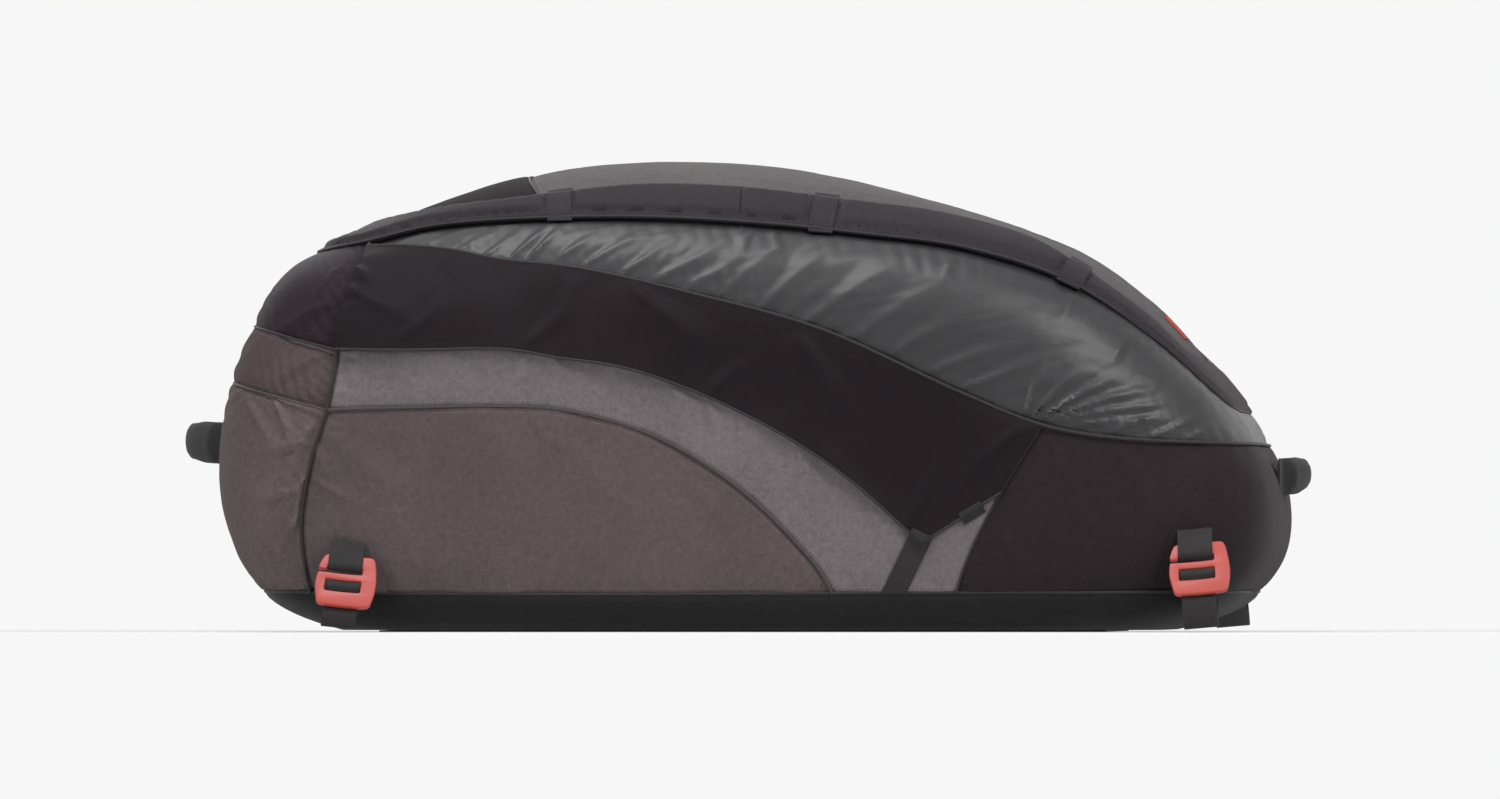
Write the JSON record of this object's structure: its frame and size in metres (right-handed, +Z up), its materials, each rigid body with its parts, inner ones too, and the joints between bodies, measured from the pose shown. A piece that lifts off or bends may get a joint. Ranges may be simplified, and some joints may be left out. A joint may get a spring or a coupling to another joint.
{
  "type": "roof cargo bag",
  "caption": "Soft roof cargo bag, closed and stuffed, of sewn fabric panels with a storm flap over its zip, end grab handles and webbing straps with quick hooks for roof rails.",
  "frame": {"origin": "middle of the base panel's flat underside, halfway along the stuffed bag and between its sides", "axes": "+X towards the front of the vehicle, +Y towards its left side, +Z up"},
  "size_m": [1.2412, 1.0442, 0.5204],
  "materials": {
    "base_cloth": "black waterproof coated cloth, slightly shiny",
    "front_cloth": "matte black woven polyester",
    "lower_cloth": "matte dark grey canvas weave",
    "light_cloth": "matte mid grey canvas weave",
    "gloss_cloth": "smooth coated cloth with a wet sheen and puckered seams",
    "wing_cloth": "smooth matte black cloth",
    "rear_upper_cloth": "matte black woven polyester",
    "rear_middle_cloth": "matte warm grey canvas weave",
    "rear_lower_cloth": "matte grey canvas weave, wrinkled along its seam",
    "top_cloth": "matte grey canvas weave",
    "yoke_cloth": "matte charcoal cloth",
    "flap_cloth": "padded charcoal cloth with stitched hems",
    "webbing": "black woven webbing",
    "zip_tape": "black zip tape and coil",
    "zip_metal": "satin cast metal",
    "hook_plastic": "satin coral red moulded plastic",
    "badge_cloth": "plain coral red woven patch"
  },
  "bodies": {
    "root": {"bag_body": "base_cloth", "base_panel": "base_cloth", "front_panel": "front_cloth", "lower_side_panel_right": "lower_cloth", "lower_side_panel_left": "lower_cloth", "light_side_panel_right": "light_cloth", "light_side_panel_left": "light_cloth", "upper_side_panel_right": "gloss_cloth", "upper_side_panel_left": "gloss_cloth", "rear_upper_panel": "rear_upper_cloth", "rear_middle_panel": "rear_middle_cloth", "rear_lower_panel": "rear_lower_cloth", "top_panel": "top_cloth", "rear_yoke": "yoke_cloth", "wing_right": "wing_cloth", "wing_left": "wing_cloth", "wing_tie_right": "webbing", "wing_tie_left": "webbing", "wing_catch_right": "webbing", "wing_catch_left": "webbing", "zip_tape": "zip_tape", "storm_flap": "flap_cloth", "flap_tab_1_right": "flap_cloth", "flap_tab_1_left": "flap_cloth", "flap_tab_2_right": "flap_cloth", "flap_tab_2_left": "flap_cloth", "flap_tab_3_right": "flap_cloth", "flap_tab_3_left": "flap_cloth", "rear_anchor_patch_right": "lower_cloth", "rear_anchor_patch_left": "lower_cloth", "front_anchor_patch_right": "front_cloth", "front_anchor_patch_left": "front_cloth", "rear_hook_webbing_right": "webbing", "rear_hook_webbing_left": "webbing", "front_hook_webbing_right": "webbing", "front_hook_webbing_left": "webbing", "rear_rail_strap_right": "webbing", "rear_rail_strap_left": "webbing", "front_rail_strap_right": "webbing", "front_rail_strap_left": "webbing", "rear_hook_right": "hook_plastic", "rear_hook_left": "hook_plastic", "front_hook_right": "hook_plastic", "front_hook_left": "hook_plastic", "rear_handle": "webbing", "front_handle": "webbing", "rear_badge": "badge_cloth", "front_badge": "badge_cloth", "zip_slider_right": "zip_metal", "zip_slider_left": "zip_metal", "zip_pull_right": "zip_metal", "zip_pull_left": "zip_metal"}
  },
  "joints": []
}
